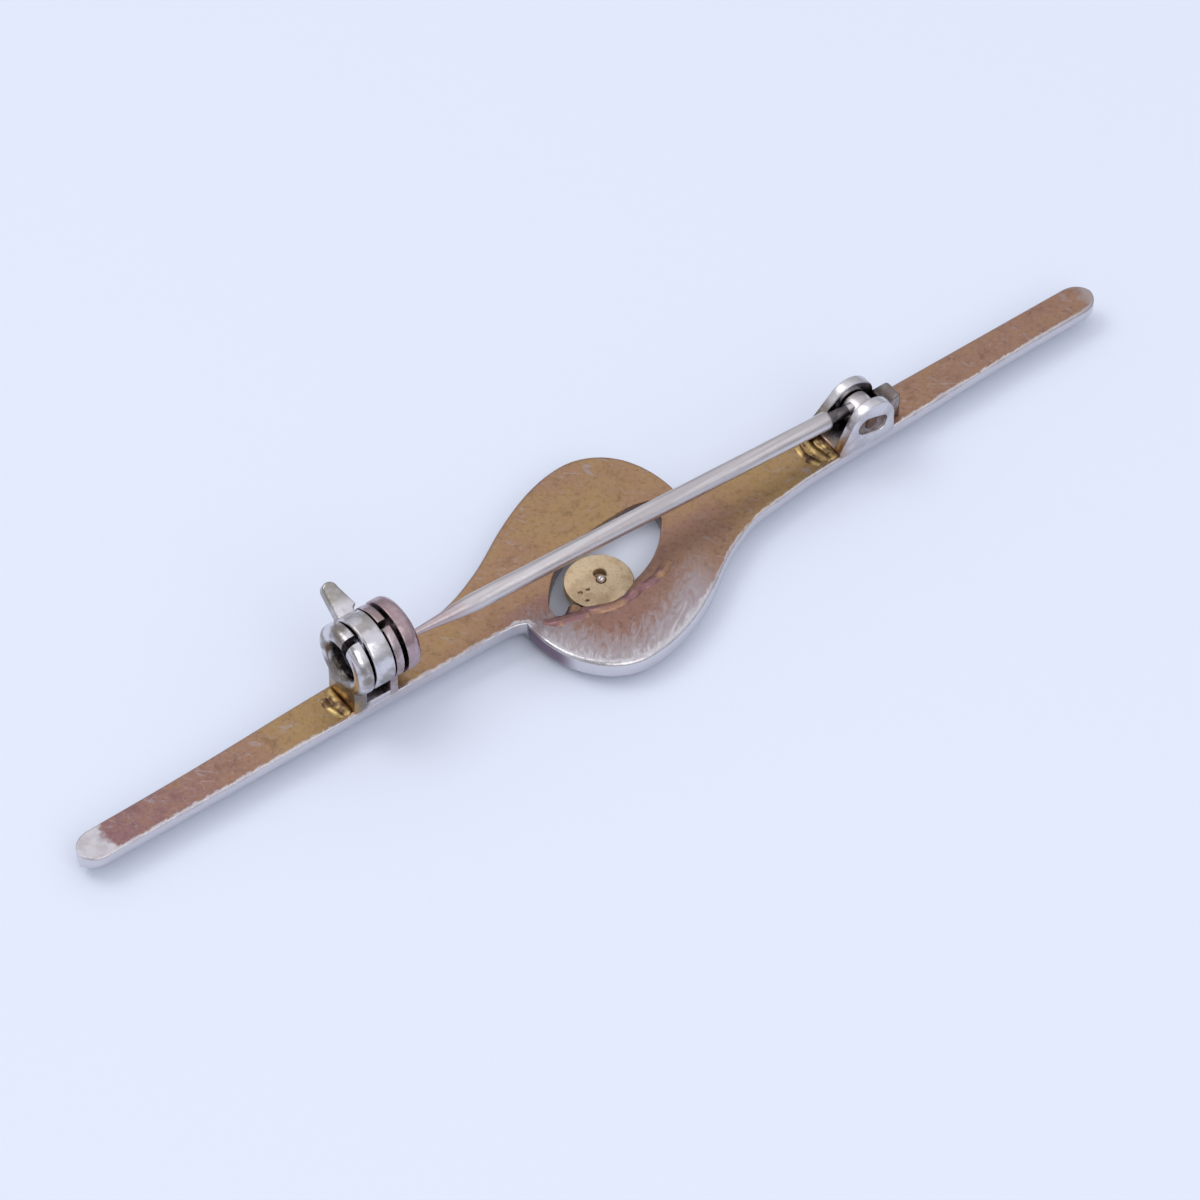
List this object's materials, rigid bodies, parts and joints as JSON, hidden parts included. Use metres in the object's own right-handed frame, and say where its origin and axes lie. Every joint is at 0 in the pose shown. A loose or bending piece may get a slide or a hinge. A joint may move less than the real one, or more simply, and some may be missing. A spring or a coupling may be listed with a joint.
{
  "type": "bar brooch",
  "caption": "Slim bar brooch: two arms swirl round a small button, with a hinged pin and a turning safety catch on its back.",
  "frame": {"origin": "middle of the bar across its length and its width, on the surface that the front lies on", "axes": "+X along the bar towards the pin's hinge, +Y across the bar towards the side that the larger lobe bulges to, +Z out of the back, towards the pin"},
  "size_m": [0.0632, 0.013, 0.0065],
  "materials": {
    "tarnished_silver": "cast silver, tan tarnish on the back",
    "pale_gold": "pale gold, sand-cast texture",
    "bright_silver": "worn polish",
    "pin_silver": "drawn wire, lightly scratched"
  },
  "bodies": {
    "frame": {"brooch_frame": "tarnished_silver", "centre_button": "pale_gold", "button_peg": "bright_silver", "hinge_rivet": "bright_silver"},
    "pin": {"pin_stem": "pin_silver"},
    "rotor": {"catch_rotor": "bright_silver"}
  },
  "joints": [
    {"name": "pin_hinge", "type": "hinge", "parent": "frame", "child": "pin", "pos_m": [0.0159, -0.00049, 0.00285], "axis": [0, 1, 0], "range_deg": [0, 90]},
    {"name": "catch_turn", "type": "hinge", "parent": "frame", "child": "rotor", "pos_m": [-0.0145, 0.0006, 0.00435], "axis": [1, 0, 0], "range_deg": [0, 100]}
  ]
}
